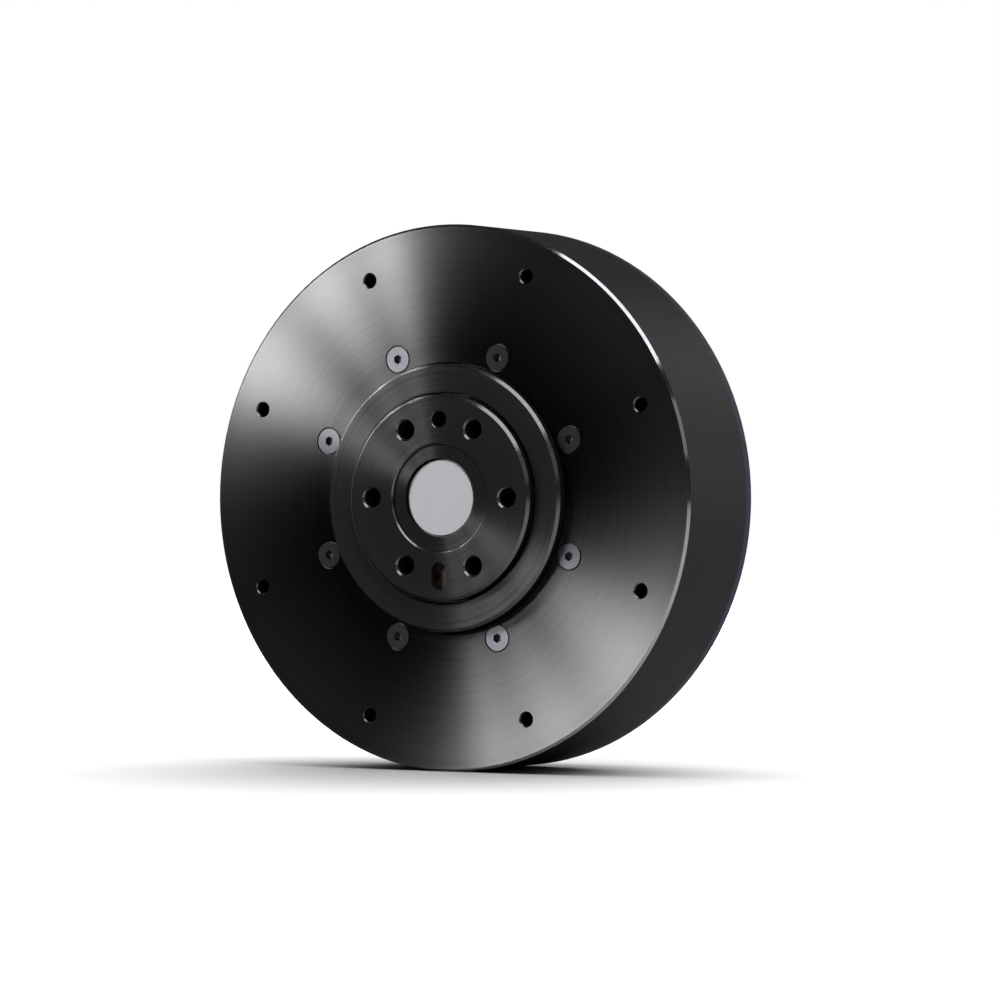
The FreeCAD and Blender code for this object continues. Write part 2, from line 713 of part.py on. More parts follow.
def make_magnets():
    """Flat magnets inside the flux ring, just clear of its bore at their corners."""
    corner = FreeCAD.Vector(magnet_inner_r, y_core - magnet_overhang, -magnet_width / 2)
    magnet = Part.makeBox(magnet_t, core_length + 2 * magnet_overhang, magnet_width, corner)
    return Part.makeCompound([turned_to(magnet, angle) for angle in evenly(magnet_count)])


def make_stator_core():
    """The laminated core: a yoke with one T-shaped tooth between each two slots."""
    edges = []
    step = 360.0 / slot_count
    mouth = step / 2 - degrees(slot_mouth_half / stator_r)
    low = degrees(tooth_half_width / slot_bottom_r)
    high = degrees(tooth_half_width / slot_top_r)
    for tooth_angle in evenly(slot_count):
        outline = [(slot_bottom_r, -low), (slot_top_r, -high), (slot_top_r, -mouth), (stator_r, -mouth),
                   (stator_r, mouth), (slot_top_r, mouth), (slot_top_r, high), (slot_bottom_r, low),
                   (slot_bottom_r, step - low)]
        points = [at(radius, tooth_angle + turn, y_core) for radius, turn in outline]
        tip = at(stator_r, tooth_angle, y_core)
        for n, (start, end) in enumerate(zip(points, points[1:])):
            is_tip = n == 3
            edges.append(Part.Arc(start, tip, end).toShape() if is_tip else Part.makeLine(start, end))
    body = Part.Face(Part.Wire(edges)).extrude(SHAFT * core_length)
    return body.cut(rod(stator_bore_r + seat_gap, y_core, y_core_back))


def make_windings():
    """One coil around each stator tooth."""
    inner_half = tooth_half_width + coil_gap
    outer_half = inner_half + coil_side_t
    root_r = slot_bottom_r + coil_gap
    length = slot_top_r - coil_gap - root_r
    middle_r = root_r + length / 2
    hole_depth = core_length + 2 * coil_gap
    coil = block(length, y_coil_back - y_coil, 2 * outer_half, middle_r, y_coil, 0)
    coil = coil.cut(block(length, hole_depth, 2 * inner_half, middle_r, y_core - coil_gap, 0))
    return Part.makeCompound([turned_to(coil, angle) for angle in evenly(slot_count)])


# ---- Driver electronics ----
def make_electronics_cover():
    """The cup over the driver, with a post at each standoff and a notch for the connectors."""
    inner_r = cover_r - cover_wall
    shell = turned([
        (0, y_cover_inner), (inner_r, y_cover_inner), (inner_r, y_body_back), (cover_r, y_body_back),
        (cover_r, y_cover_end - cover_chamfer), (cover_r - cover_chamfer, y_cover_end), (0, y_cover_end)])
    posts = holes(standoff_r, standoff_circle_r, standoff_angles, y_board_back, y_cover_inner)
    tools = holes(cover_screw_r + clearance_gap, standoff_circle_r, standoff_angles,
                  y_board_back, y_cover_end)
    tools += [countersink(cover_screw_r, cover_screw_head_r, y_cover_end, at(standoff_circle_r, angle), -1)
              for angle in standoff_angles]
    width = connectors_width + 2 * clearance_gap
    notch = Part.makeBox(width, y_board - y_body_back, cover_r,
                         FreeCAD.Vector(connectors_x - clearance_gap, y_body_back, -cover_r))
    tools.append(notch.common(ring(cover_r + cover_wall, inner_r - cover_wall, y_body_back, y_board)))
    return shell.fuse(posts).removeSplitter().cut(tools)


def make_connector(size, left_x, pins):
    """A board-mounted connector that opens downwards past the cover's edge."""
    width, depth, length = size
    low_z = -connector_reach
    front_y = y_board - depth
    body = Part.makeBox(width, depth, length, FreeCAD.Vector(left_x, front_y, low_z))
    cavity = Part.makeBox(width - 2 * connector_wall, depth - 2 * connector_wall,
                          length - connector_floor,
                          FreeCAD.Vector(left_x + connector_wall, front_y + connector_wall, low_z))
    body = body.cut(cavity)
    floor_z = low_z + length - connector_floor
    pin_length = length - connector_floor - connector_wall
    middle_y = front_y + depth / 2
    step = width / (pins + 1)
    for n in range(pins):
        x = left_x + step * (n + 1)
        if pins == 2:
            base = FreeCAD.Vector(x, middle_y, floor_z - pin_length)
            pin = Part.makeCylinder(power_pin_r, pin_length, base)
        else:
            corner = FreeCAD.Vector(x - signal_pin_half, middle_y - signal_pin_half, floor_z - pin_length)
            pin = Part.makeBox(2 * signal_pin_half, 2 * signal_pin_half, pin_length, corner)
        body = body.fuse(pin)
    return body


def make_board():
    board = rod(board_r, y_board, y_board_back)
    return board.cut(holes(cover_screw_r + clearance_gap, standoff_circle_r, standoff_angles,
                           y_board, y_board_back))


def make_power_switches():
    """Flat transistors that press their heat into the rear cover's land."""
    pitch = heat_land_width / switch_count
    first_x = (pitch - heat_land_width) / 2
    return Part.makeCompound([
        block(switch_width_share * pitch, chip_t, switch_height_share * heat_land_height,
              first_x + n * pitch, y_chip, heat_land_z) for n in range(switch_count)])


def make_rear_components():
    """The processor and the smoothing capacitors on the board's rear face."""
    processor = block(processor_size, chip_t, processor_size, 0, y_board_back, 0)
    capacitors = holes(capacitor_r, capacitor_circle_r, evenly(capacitor_count, 180.0 / capacitor_count),
                       y_board_back, y_board_back + capacitor_height_share * component_room)
    return Part.makeCompound([processor] + capacitors)


gear_screw = flat_head_screw(gear_screw_r, gear_screw_head_r, gear_screw_length, gear_screw_socket_af)
case_screw = flat_head_screw(case_screw_r, case_screw_head_r, case_screw_length, case_socket_af)
cover_screw = flat_head_screw(cover_screw_r, cover_screw_head_r, cover_screw_length, gear_screw_socket_af)
carrier_screw = flat_head_screw(carrier_screw_r, carrier_screw_head_r, carrier_screw_length, small_socket_af)
post_screw = flat_head_screw(carrier_screw_r, carrier_screw_head_r, post_screw_length, small_socket_af)
front = ball_bearing(output_bearing_bore_r, output_bearing_outer_r, output_bearing_width,
                     output_bearing_balls, y_bearing)
middle = ball_bearing(sun_bearing_bore_r, sun_bearing_outer_r, sun_bearing_width,
                      sun_bearing_balls, y_bearing_back - sun_bearing_width)
rear = ball_bearing(rear_bearing_bore_r, rear_bearing_outer_r, rear_bearing_width,
                    rear_bearing_balls, y_rear_bearing)

nodes = {
    "front_housing": make_front_housing(),
    "rear_cover": make_rear_cover(),
    "bearing_housing": make_bearing_housing(),
    "gearbox_screws": fasteners(gear_screw, gear_screw_circle_r,
                                evenly(gear_screw_count, 180.0 / gear_screw_count), y_case),
    "case_screws": fasteners(case_screw, case_screw_circle_r, evenly(case_screw_count), y_body_back, -1),
    "bearing_circlip": make_circlip(),
    "output_bearing_outer_race": front["outer"],
    "output_bearing_inner_race": front["inner"],
    "output_bearing_balls": front["balls"],
    "output_bearing_cage": front["cage"],
    "output_bearing_seals": front["seals"],
    "ring_gear": make_ring_gear(),
    "output_hub": make_output_hub(),
    "centre_cap": make_centre_cap(),
    "planet_carrier": make_carrier(),
    "carrier_rear_plate": make_carrier_rear(),
    "carrier_screws": fasteners(carrier_screw, carrier_screw_circle_r,
                                evenly(carrier_screw_count, 180.0 / carrier_screw_count),
                                y_carrier_back, -1),
    "carrier_post_screws": fasteners(post_screw, carrier_post_circle_r, post_angles, y_carrier_end, -1),
    "planet_pins": Part.makeCompound([rod(planet_pin_r, y_bearing_back, y_carrier_end,
                                          at(planet_circle_r, angle)) for angle in planet_angles]),
    "planet_washers": make_washers(),
    "sun_gear": make_sun_gear(),
    "sun_bearing_outer_race": middle["outer"],
    "sun_bearing_inner_race": middle["inner"],
    "sun_bearing_balls": middle["balls"],
    "sun_bearing_cage": middle["cage"],
    "rotor_bell": make_rotor_bell(),
    "rotor_flux_ring": ring(rotor_r, flux_bore_r, y_bell_back, y_core_back + flux_ring_overhang),
    "rotor_magnets": make_magnets(),
    "rear_bearing_outer_race": rear["outer"],
    "rear_bearing_inner_race": rear["inner"],
    "rear_bearing_balls": rear["balls"],
    "rear_bearing_cage": rear["cage"],
    "encoder_magnet": rod(encoder_magnet_r, y_shaft_end, y_encoder_magnet_back),
    "stator_core": make_stator_core(),
    "stator_windings": make_windings(),
    "phase_leads": Part.makeCompound(holes(lead_r, lead_circle_r, lead_angles, y_coil_back, y_board)),
    "driver_board": make_board(),
    "encoder_sensor": block(sensor_size, chip_t, sensor_size, 0, y_chip, 0),
    "power_switches": make_power_switches(),
    "thermal_pad": block(heat_land_width, thermal_pad_t, heat_land_height, 0,
                         y_chip - thermal_pad_t, heat_land_z),
    "board_components": make_rear_components(),
    "power_connector": make_connector(power_size, connectors_x, 2),
    "signal_connector": make_connector(signal_size, signal_x, 4),
    "service_connector": make_connector(service_size, service_x, 3),
    "electronics_cover": make_electronics_cover(),
    "cover_screws": fasteners(cover_screw, standoff_circle_r, standoff_angles, y_cover_end, -1),
}
for number, angle in enumerate(planet_angles, 1):
    nodes[f"planet_gear_{number}"] = make_planet(angle)
    nodes[f"planet_bush_{number}"] = make_planet_bush(angle)

os.makedirs("parts", exist_ok=True)
for name, shape in nodes.items():
    shape.exportStep(f"parts/{name}.step")
    print(name, "valid" if shape.isValid() else "NOT VALID", len(shape.Solids), round(shape.Volume, 2))
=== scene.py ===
import json
from math import exp, pi, radians

import bmesh
import bpy
from mathutils import Matrix, Vector

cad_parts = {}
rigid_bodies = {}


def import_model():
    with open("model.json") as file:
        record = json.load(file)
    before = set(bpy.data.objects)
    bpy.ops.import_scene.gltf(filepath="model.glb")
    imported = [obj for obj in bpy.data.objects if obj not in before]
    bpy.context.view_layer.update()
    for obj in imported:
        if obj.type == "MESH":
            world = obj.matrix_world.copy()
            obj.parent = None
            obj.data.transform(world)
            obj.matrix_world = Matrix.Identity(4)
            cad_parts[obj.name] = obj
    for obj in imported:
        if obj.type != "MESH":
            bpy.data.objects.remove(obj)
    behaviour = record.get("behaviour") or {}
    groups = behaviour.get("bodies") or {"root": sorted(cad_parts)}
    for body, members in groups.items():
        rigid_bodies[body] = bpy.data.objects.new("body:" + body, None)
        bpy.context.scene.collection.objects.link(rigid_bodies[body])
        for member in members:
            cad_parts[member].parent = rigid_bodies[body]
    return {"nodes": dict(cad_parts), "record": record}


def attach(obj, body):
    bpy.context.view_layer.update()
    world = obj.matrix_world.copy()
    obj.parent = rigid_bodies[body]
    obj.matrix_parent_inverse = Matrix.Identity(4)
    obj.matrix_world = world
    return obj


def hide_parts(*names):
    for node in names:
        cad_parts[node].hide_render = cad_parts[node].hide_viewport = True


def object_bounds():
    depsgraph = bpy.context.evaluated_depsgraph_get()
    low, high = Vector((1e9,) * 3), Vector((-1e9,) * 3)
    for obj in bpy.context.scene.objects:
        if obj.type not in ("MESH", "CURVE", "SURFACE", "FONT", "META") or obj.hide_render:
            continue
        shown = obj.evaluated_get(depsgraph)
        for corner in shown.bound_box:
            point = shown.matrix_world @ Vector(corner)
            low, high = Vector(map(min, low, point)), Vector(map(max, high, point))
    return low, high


bl_info = {
    "name": "Robot joint actuator dressing",
    "version": (1, 0, 0),
    "blender": (4, 5, 0),
    "location": "3D View > Sidebar > Actuator",
    "description": "Finishes, fine pieces and studio for a flat robot joint actuator",
    "category": "Object",
}

for leftover in list(bpy.data.objects):
    bpy.data.objects.remove(leftover, do_unlink=True)
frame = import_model()
CAD_BOX = [list(corner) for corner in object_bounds()]
NODES = frame["nodes"]
SLOT_OF = {entry["node"]: entry["material_slot"] for entry in frame["record"]["subparts"]}
SHAFT = (0.0, 1.0, 0.0)
MM = 0.001


# ---- Settings a user would change ----
class FinishSettings(bpy.types.PropertyGroup):
    """Colours and gloss of the visible metal."""
    case_colour: bpy.props.FloatVectorProperty(
        name="Case colour", description="Black anodised casing", subtype="COLOR",
        size=3, min=0.0, max=1.0, default=(0.0113, 0.0109, 0.0110))
    case_roughness: bpy.props.FloatProperty(
        name="Face roughness", description="Roughness of the turned front face near its edge",
        subtype="FACTOR", min=0.05, max=1.0, default=0.36)
    wall_colour: bpy.props.FloatVectorProperty(
        name="Wall colour", description="Fine blasted side wall", subtype="COLOR",
        size=3, min=0.0, max=1.0, default=(0.027, 0.027, 0.0285))
    rim_colour: bpy.props.FloatVectorProperty(
        name="Rim colour", description="Smooth turned edge of the rear cover", subtype="COLOR",
        size=3, min=0.0, max=1.0, default=(0.095, 0.092, 0.142))
    cap_colour: bpy.props.FloatVectorProperty(
        name="Cap colour", description="Satin metal cap in the middle of the hub", subtype="COLOR",
        size=3, min=0.0, max=1.0, default=(0.395, 0.39, 0.415))


class StudioSettings(bpy.types.PropertyGroup):
    """Camera, lamps and floor."""
    lens: bpy.props.FloatProperty(
        name="Lens", description="Focal length of the camera", subtype="DISTANCE_CAMERA",
        min=20.0, max=400.0, default=162.9)
    lamp_distance: bpy.props.FloatProperty(
        name="Lamp distance", description="From the hub's face to each softbox", subtype="DISTANCE",
        unit="LENGTH", min=0.3, max=3.0, default=1.0)
    lamp_power: bpy.props.FloatProperty(
        name="Lamp power", description="Scales the power of every softbox", min=0.0, max=10.0, default=1.0)
    room_level: bpy.props.FloatProperty(
        name="Room level", description="Strength of the light from all round",
        min=0.0, max=1.0, default=0.02)


# ---- Shader building ----
WHITE = (1.0, 1.0, 1.0, 1.0)
MIX_SOCKETS = {"FLOAT": (2, 3, 0), "RGBA": (6, 7, 2)}  # a Mix node's first, second and result, by kind


class Shading:
    """A node tree under construction, with short ways to add the nodes it uses."""

    def __init__(self, tree):
        self.tree = tree

    def set(self, node, socket, value):
        if isinstance(value, bpy.types.NodeSocket):
            self.tree.links.new(value, node.inputs[socket])
        else:
            node.inputs[socket].default_value = value

    def add(self, kind, inputs=None, **properties):
        node = self.tree.nodes.new(kind)
        for name, value in properties.items():
            setattr(node, name, value)
        for socket, value in (inputs or {}).items():
            self.set(node, socket, value)
        return node

    def maths(self, operation, *values):
        return self.add("ShaderNodeMath", dict(enumerate(values)), operation=operation).outputs[0]

    def spread(self, value, low, high, to_low=0.0, to_high=1.0):
        """value, taken from one range to another and held at its ends."""
        return self.add("ShaderNodeMapRange", {
            "Value": value, "From Min": low, "From Max": high, "To Min": to_low, "To Max": to_high,
        }).outputs["Result"]

    def mix(self, kind, factor, first, second):
        """A value between two, by the factor; kind is FLOAT or RGBA."""
        at_first, at_second, result = MIX_SOCKETS[kind]
        node = self.add("ShaderNodeMix", {0: factor, at_first: first, at_second: second}, data_type=kind)
        return node.outputs[result]

    def length(self, vector):
        return self.add("ShaderNodeVectorMath", {0: vector}, operation="LENGTH").outputs["Value"]

    def axes(self, vector):
        """The outputs X, Y and Z of a vector."""
        return self.add("ShaderNodeSeparateXYZ", {0: vector}).outputs

    def camera_ray(self):
        """1 where the camera looks straight at the surface, 0 where it is mirrored or lights something."""
        return self.add("ShaderNodeLightPath").outputs["Is Camera Ray"]


class Finish(Shading):
    """A material under construction."""

    def __init__(self, name, colour, roughness, metallic=0.0, **fixed):
        self.material = bpy.data.materials.new(name)
        self.material.use_nodes = True
        super().__init__(self.material.node_tree)
        self.shader = self.tree.nodes["Principled BSDF"]
        self.set(self.shader, "Base Color", (*colour, 1.0))
        self.set(self.shader, "Roughness", roughness)
        self.set(self.shader, "Metallic", metallic)
        for socket, value in fixed.items():
            self.set(self.shader, socket.replace("_", " "), value)
        self.place = self.add("ShaderNodeTexCoord").outputs["Object"]

    def noise(self, scale, detail):
        return self.add("ShaderNodeTexNoise", {
            "Vector": self.place, "Scale": scale, "Detail": detail, "Roughness": 0.5}).outputs["Fac"]

    def shaft_radius(self):
        """Distance from the shaft axis, in metres."""
        flat = self.add("ShaderNodeVectorMath", {0: self.place, 1: (1.0, 0.0, 1.0)}, operation="MULTIPLY")
        return self.length(flat.outputs[0])

    def tint(self, factor, colour, other):
        """Run the base colour from one colour to another, by the factor."""
        mixed = self.mix("RGBA", factor, (*colour, 1.0), (*other, 1.0))
        self.set(self.shader, "Base Color", mixed)

    def bump(self, height, depth):
        """height from 0 to 1 stands for this depth in metres."""
        node = self.add("ShaderNodeBump", {"Height": height, "Distance": depth, "Strength": 1.0})
        self.set(self.shader, "Normal", node.outputs["Normal"])

    def brushed_round_shaft(self, amount):
        """Fine marks that run round the shaft, so a gleam spreads across them."""
        along = self.add("ShaderNodeVectorMath", {0: SHAFT, 1: self.place}, operation="CROSS_PRODUCT")
        flat = self.add("ShaderNodeVectorMath", {0: along.outputs[0]}, operation="NORMALIZE")
        self.set(self.shader, "Tangent", flat.outputs[0])
        self.set(self.shader, "Anisotropic", amount)
        self.set(self.shader, "Anisotropic Rotation", 0.25)


# ---- Finishes ----
FEED_PITCH = 0.0002  # one turn of the lathe moves the tool this far, in metres
MARK_DEPTH = 0.000002  # depth of lathe marks and grain, in metres
FEED_IN_MARKS = 0.22
FEED_IN_COLOUR = 0.16
MARKS_IN_COLOUR = 0.2
RING_SCALE, RING_SHARE = 1500.0, 0.8  # rings in the marks of a turned face
GRAIN_SCALE, GRAIN_SHARE = 3800.0, 0.2  # grain in the marks of a turned face
LATHE_GLEAM = 0.97  # how far a gleam spreads across the marks of a turned face
GRAIN_SHADE = 0.8  # the dark of a grain, as a share of the metal's colour
NOISE_LOW, NOISE_HIGH = 0.3, 0.7  # a noise lies mostly between these
LEAST_ROUGHNESS = 0.03
EDGE_WEAR = 0.02  # how much wear changes the roughness of a cut edge, either way


def turned_black(name, colours, spans, metallic, ior, marked=0.06):
    """Black anodised face with lathe marks; colour and roughness run from near to far radius, and on the
    front face that run of colour is a painted gleam, dark near the shaft.

    spans are the near and far radius in metres and the roughness at each; marked is how much
    the marks change the roughness."""
    near, far, low, high = spans
    finish = Finish(name, colours[1], high, metallic, IOR=ior)
    radius = finish.shaft_radius()
    rings = finish.add("ShaderNodeTexNoise", {
        "W": radius, "Scale": RING_SCALE, "Detail": 2.0, "Roughness": 0.7}, noise_dimensions="1D")
    grain = finish.noise(GRAIN_SCALE, 1.0)
    feed = finish.maths("SINE", finish.maths("MULTIPLY", radius, 2 * pi / FEED_PITCH))
    rings = finish.maths("MULTIPLY_ADD", feed, FEED_IN_MARKS, rings.outputs["Fac"])
    marks = finish.maths("ADD", finish.maths("MULTIPLY", rings, RING_SHARE),
                         finish.maths("MULTIPLY", grain, GRAIN_SHARE))
    uneven = finish.maths("SUBTRACT", marks, 0.5)
    level = finish.spread(radius, near, far, low, high)
    finish.set(finish.shader, "Roughness", finish.maths("MULTIPLY_ADD", uneven, marked, level))
    # painted gleam: the colour brightens from the near to the far radius, most on the front face
    outward = finish.spread(radius, near, far, FEED_IN_COLOUR, 1 - FEED_IN_COLOUR)
    ramp = finish.maths("MULTIPLY_ADD", feed, FEED_IN_COLOUR, outward)
    finish.tint(finish.maths("MULTIPLY_ADD", uneven, MARKS_IN_COLOUR, ramp), colours[0], colours[1])
    finish.bump(rings, MARK_DEPTH)
    finish.brushed_round_shaft(LATHE_GLEAM)
    return finish.material


def cut_metal(name, colour, roughness, amount):
    """Chamfer cut after anodising; amount is how far its gleam spreads across the tool's marks."""
    finish = Finish(name, colour, roughness, 1.0)
    wear = finish.noise(1200.0, 2.0)
    finish.set(finish.shader, "Roughness", finish.spread(
        wear, NOISE_LOW, NOISE_HIGH, roughness - EDGE_WEAR, roughness + EDGE_WEAR))
    finish.brushed_round_shaft(amount)
    return finish.material


def grained_metal(name, colour, roughness, scale=900.0, depth=MARK_DEPTH, metallic=1.0, spread=0.12,
                  **fixed):
    """Metal with a fine grain; spread is how much the grain changes the roughness."""
    finish = Finish(name, colour, roughness, metallic, **fixed)
    grain = finish.noise(scale, 3.0)
    finish.set(finish.shader, "Roughness", finish.spread(
        grain, NOISE_LOW, NOISE_HIGH, max(LEAST_ROUGHNESS, roughness - spread / 2), roughness + spread / 2))
    finish.tint(grain, tuple(c * GRAIN_SHADE for c in colour), colour)
    finish.bump(grain, depth)
    return finish.material


def moulded(name, colour, roughness):
    """Plastic, rubber or a dull coat with a fine moulded grain."""
    return grained_metal(name, colour, roughness, scale=2500.0, depth=0.000006, metallic=0.0)


def satin(name, colour, roughness, metallic):
    """Smooth satin metal of the cap."""
    return grained_metal(name, colour, roughness, scale=3000.0, depth=0.0000002, metallic=metallic,
                         spread=0.05)


def make_finishes(settings):
    """Every finish by the name of its material slot or zone."""
    black = Vector(settings.case_colour)
    warm = Vector((black[0] * 1.06, black[1], black[2] * 0.94))
    fixed_black = (warm * 0.7, warm * 1.1)
    screw_face = Finish("screw_face", (0.108, 0.105, 0.118), 0.36, 0.86)
    screw_face.brushed_round_shaft(0.95)
    return {
        "case_aluminium": grained_metal("case_wall", tuple(settings.wall_colour), 0.5, scale=9000.0,
                                        depth=0.000003, metallic=0.0, IOR=1.25),
        # its colour brightens 7.5 times towards the rim: painted gleam
        "front_face": turned_black("front_face", (black * 1.8, black * 13.5),
                                   (0.027, 0.0455, 0.31, settings.case_roughness), metallic=1.0, ior=1.5),
        "back_turned": turned_black("back_turned", (black * 6.0, black * 9.0),
                                    (0.005, 0.049, 0.34, 0.40), metallic=1.0, ior=1.5),
        "face_aluminium": turned_black("ring_turned", fixed_black, (0.018, 0.024, 0.3, 0.3),
                                       metallic=0.0, ior=1.33, marked=0.22),
        "hub_turned": turned_black("hub_turned", fixed_black, (0.006, 0.0185, 0.3, 0.3),
                                   metallic=0.0, ior=1.25, marked=0.22),
        "rim_aluminium": Finish("rim_turned", tuple(settings.rim_colour), 0.55, IOR=1.2).material,
        "cut_edge": cut_metal("cut_edge", (0.66, 0.65, 0.71), 0.13, 0.6),
        "soft_edge": cut_metal("soft_edge", (0.23, 0.225, 0.245), 0.2, 0.0),
        "screw_face": screw_face.material,
        "bore": moulded("anodised_bore", (0.01, 0.009, 0.009), 0.5),
        "cap_metal": satin("cap_satin", tuple(settings.cap_colour), 0.4, 0.0),
        "cap_edge": satin("cap_edge", (0.6, 0.59, 0.62), 0.3, 0.5),
        "dark_screw_steel": grained_metal("screw_steel", (0.2, 0.2, 0.21), 0.34, scale=4000.0),
        "spring_steel": grained_metal("spring_steel", (0.12, 0.12, 0.12), 0.4),
        "bearing_steel": grained_metal("bearing_steel", (0.62, 0.62, 0.63), 0.14),
        "cage_polymer": moulded("cage_polymer", (0.5, 0.36, 0.22), 0.5),
        "seal_rubber": moulded("seal_rubber", (0.09, 0.03, 0.11), 0.45),
        "web_bronze": grained_metal("web_bronze", (0.055, 0.034, 0.021), 0.5, metallic=0.0),
        "gear_steel": grained_metal("gear_steel", (0.35, 0.35, 0.36), 0.3),
        "bush_bronze": grained_metal("bush_bronze", (0.55, 0.36, 0.17), 0.35),
        "carrier_steel": grained_metal("carrier_steel", (0.30, 0.19, 0.13), 0.5, metallic=0.2),
        "rotor_aluminium": grained_metal("rotor_aluminium", (0.05, 0.05, 0.052), 0.4),
        "flux_steel": grained_metal("flux_steel", (0.4, 0.4, 0.41), 0.35),
        "magnet": grained_metal("magnet_nickel", (0.6, 0.6, 0.58), 0.2),
        "lamination": grained_metal("lamination", (0.2, 0.22, 0.24), 0.45),
        "copper_wire": grained_metal("copper_wire", (0.55, 0.22, 0.08), 0.3),
        "lead_insulation": moulded("lead_insulation", (0.05, 0.05, 0.05), 0.5),
        "circuit_board": moulded("circuit_board", (0.02, 0.09, 0.05), 0.35),
        "chip_plastic": moulded("chip_plastic", (0.03, 0.03, 0.03), 0.5),
        "thermal_silicone": moulded("thermal_silicone", (0.5, 0.55, 0.6), 0.7),
        "connector_yellow": moulded("connector_yellow", (0.75, 0.5, 0.05), 0.4),
        "connector_white": moulded("connector_white", (0.78, 0.76, 0.7), 0.4),
    }


FINISHES = {}


class ACTUATOR_OT_finishes(bpy.types.Operator):
    """Give every solid of the actuator its finish"""
    bl_idname = "actuator.finishes"
    bl_label = "Finish the solids"

    def execute(self, context):
        FINISHES.update(make_finishes(context.scene.actuator_finish))
        for name, node in NODES.items():
            for slot in node.material_slots:
                slot.material = FINISHES[SLOT_OF[name]]
        return {"FINISHED"}


# ---- Shared ways to make a piece ----
SHARP_ANGLE = radians(25)  # an edge that turns more than this stays sharp
MERGE_DISTANCE = 1e-7


def add_object(name, data):
    made = bpy.data.objects.new(name, data)
    bpy.context.scene.collection.objects.link(made)
    return made


def turned_ring(work, profile, steps):
    """Spin a closed profile once round the shaft; its corners are (radius, depth) in metres."""
    ring = [work.verts.new((radius, depth, 0.0)) for radius, depth in profile]
    loop = [work.edges.new(pair) for pair in zip(ring, ring[1:] + ring[:1])]
    bmesh.ops.spin(work, geom=ring + loop, cent=(0, 0, 0), axis=SHAFT, angle=2 * pi, steps=steps,
                   use_merge=True)


def dressed(node, piece, body, zones, cut_at=None):
    """A merged copy of a solid with a finish to each zone: (finish, test).

    A test gets the radius and depth of a face's centre in millimetres and its normal, and the first
    that holds gives the finish; cut_at is a depth to part faces at."""
    mesh = bpy.data.meshes.new(piece)
    work = bmesh.new()
    work.from_mesh(NODES[node].data)
    for layers in (work.loops.layers.float_vector, work.loops.layers.int, work.loops.layers.uv):
        for layer in list(layers.values()):
            layers.remove(layer)
    bmesh.ops.remove_doubles(work, verts=work.verts, dist=MERGE_DISTANCE)
    if cut_at is not None:
        bmesh.ops.bisect_plane(work, geom=work.verts[:] + work.edges[:] + work.faces[:],
                               dist=MERGE_DISTANCE, plane_co=(0.0, cut_at * MM, 0.0), plane_no=SHAFT)
    for face in work.faces:
        centre = face.calc_center_median() / MM
        radius = (centre.x ** 2 + centre.z ** 2) ** 0.5
        face.material_index = next(
            n for n, (_, test) in enumerate(zones) if test(radius, centre.y, face.normal))
        face.smooth = True
    work.to_mesh(mesh)
    work.free()
    if "custom_normal" in mesh.attributes:
        mesh.attributes.remove(mesh.attributes["custom_normal"])
    for finish, _ in zones:
        mesh.materials.append(FINISHES[finish])
    mesh.set_sharp_from_angle(angle=SHARP_ANGLE)
    made = add_object(piece, mesh)
    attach(made, body)
    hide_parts(node)
    return made


GROOVE_STEPS = 240


def groove(piece, grooves):
    """Cut rings round the shaft out of a piece: (inner radius, outer radius, depth) in millimetres."""
    work = bmesh.new()
    top = CAD_BOX[1][1]
    for inner, outer, deep in grooves:
        foot = top - deep * MM
        shoulder = foot + 0.4 * deep * MM
        taper = 0.6 * deep
        profile = ((inner, top + MM), (outer, top + MM), (outer, shoulder),
                   (outer - taper, foot), (inner + taper, foot), (inner, shoulder))
        turned_ring(work, [(radius * MM, depth) for radius, depth in profile], GROOVE_STEPS)
    bmesh.ops.recalc_face_normals(work, faces=work.faces)
    mesh = bpy.data.meshes.new(piece.name + "_cutter")
    work.to_mesh(mesh)
    work.free()
    cutter = add_object(mesh.name, mesh)
    cut = piece.modifiers.new("grooves", "BOOLEAN")
    cut.operation = "DIFFERENCE"
    cut.solver = "EXACT"
    cut.material_mode = "INDEX"
    cut.object = cutter
    made = bpy.data.meshes.new_from_object(piece.evaluated_get(bpy.context.evaluated_depsgraph_get()))
    piece.modifiers.clear()
    made.shade_smooth()
    made.set_sharp_from_angle(angle=SHARP_ANGLE)
    piece.data = made
    bpy.data.objects.remove(cutter, do_unlink=True)


# ---- Tests that part a solid into zones ----
FLAT = 0.98  # the normal of a flat face has more than this along the shaft
UPRIGHT = 0.1  # the normal of a side wall has less than this along the shaft
SLOPED = 0.15  # the normal of a chamfer or cone has more than this along the shaft


def looks_front(normal):
    return normal.y < -FLAT


def looks_back(normal):
    return normal.y > FLAT


def is_upright(normal):
    return abs(normal.y) < UPRIGHT


def is_sloped(normal):
    return SLOPED < abs(normal.y) < FLAT


def slopes_front(normal):
    return is_sloped(normal) and normal.y < 0


def anywhere(radius, depth, normal):
    return True


# ---- Casing ----
# depths from the hub's face and radii from the shaft that tell zones apart, in millimetres
CASE_FACE = 3.01  # just behind the case's front face
SCREW_FACE = 3.1  # just behind the faces of the gearbox screws
RING_FACE = 1.21  # just behind the fixed ring's face
RING_EDGE = 2.0  # behind the fixed ring's chamfers
REAR_FACE = (26.9, 27.1)  # either side of the rear cover's turned face
LID_FACE = 37.3  # just in front of the lid's face
RIM_START = 24.7  # where the side wall ends in a smooth turned edge
WALL_RADIUS = 48.0  # inside the side wall
COVER_RIM_RADIUS = 46.0  # inside the rear cover's rim
CASE_EDGE_RADIUS = 47.0  # inside the chamfer of the front face
MOUTH_RADIUS = 24.0  # inside the countersink mouths and tapped holes
COVER_GROOVES = ((36.6, 37.4, 0.4), (25.4, 26.2, 0.4), (23.8, 24.6, 0.4), (22.2, 23.0, 0.4))


